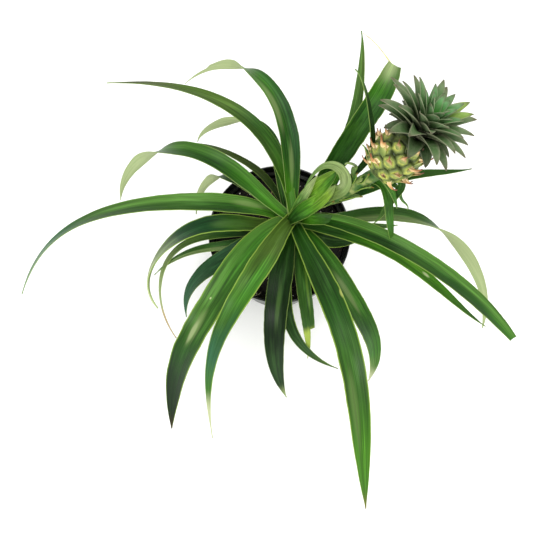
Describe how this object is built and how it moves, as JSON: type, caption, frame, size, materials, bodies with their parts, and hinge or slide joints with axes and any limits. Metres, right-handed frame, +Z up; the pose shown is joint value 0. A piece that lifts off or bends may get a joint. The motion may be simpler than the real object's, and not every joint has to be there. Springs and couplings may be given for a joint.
{
  "type": "potted pineapple plant",
  "caption": "Small fruiting pineapple plant in a round plastic nursery pot: long arching strap leaves, a leaning stalk with bracts, and a small crowned fruit.",
  "frame": {"origin": "centre of the pot's flat underside", "axes": "+Z up along the pot's axis; the fruit leans towards +X and the longest leaves hang towards -Y and -X"},
  "size_m": [0.5329, 0.4603, 0.3674],
  "materials": {
    "pot": "satin",
    "soil": "matte",
    "stem": "matte",
    "stalk": "satin",
    "leaf": "satin",
    "young_leaf": "satin",
    "bract": "satin",
    "fruit": "matte",
    "crown": "matte"
  },
  "bodies": {
    "root": {"pot": "pot", "soil": "soil", "stem": "stem", "stalk": "stalk", "fruit": "fruit", "crown": "crown", "leaf_01": "young_leaf", "leaf_02": "young_leaf", "leaf_03": "young_leaf", "leaf_04": "leaf", "leaf_05": "leaf", "leaf_06": "leaf", "leaf_07": "leaf", "leaf_08": "leaf", "leaf_09": "leaf", "leaf_10": "leaf", "leaf_11": "leaf", "leaf_12": "leaf", "leaf_13": "leaf", "leaf_14": "leaf", "leaf_15": "leaf", "leaf_16": "leaf", "leaf_17": "leaf", "leaf_18": "leaf", "leaf_19": "leaf", "leaf_20": "leaf", "leaf_21": "leaf", "leaf_22": "leaf", "leaf_23": "leaf", "leaf_24": "leaf", "leaf_25": "leaf", "leaf_26": "leaf", "leaf_27": "leaf", "leaf_28": "leaf", "bract_1": "bract", "bract_2": "bract", "bract_3": "bract", "bract_4": "bract", "bract_5": "bract", "bract_6": "bract", "bract_7": "bract", "bract_8": "bract"}
  },
  "joints": []
}
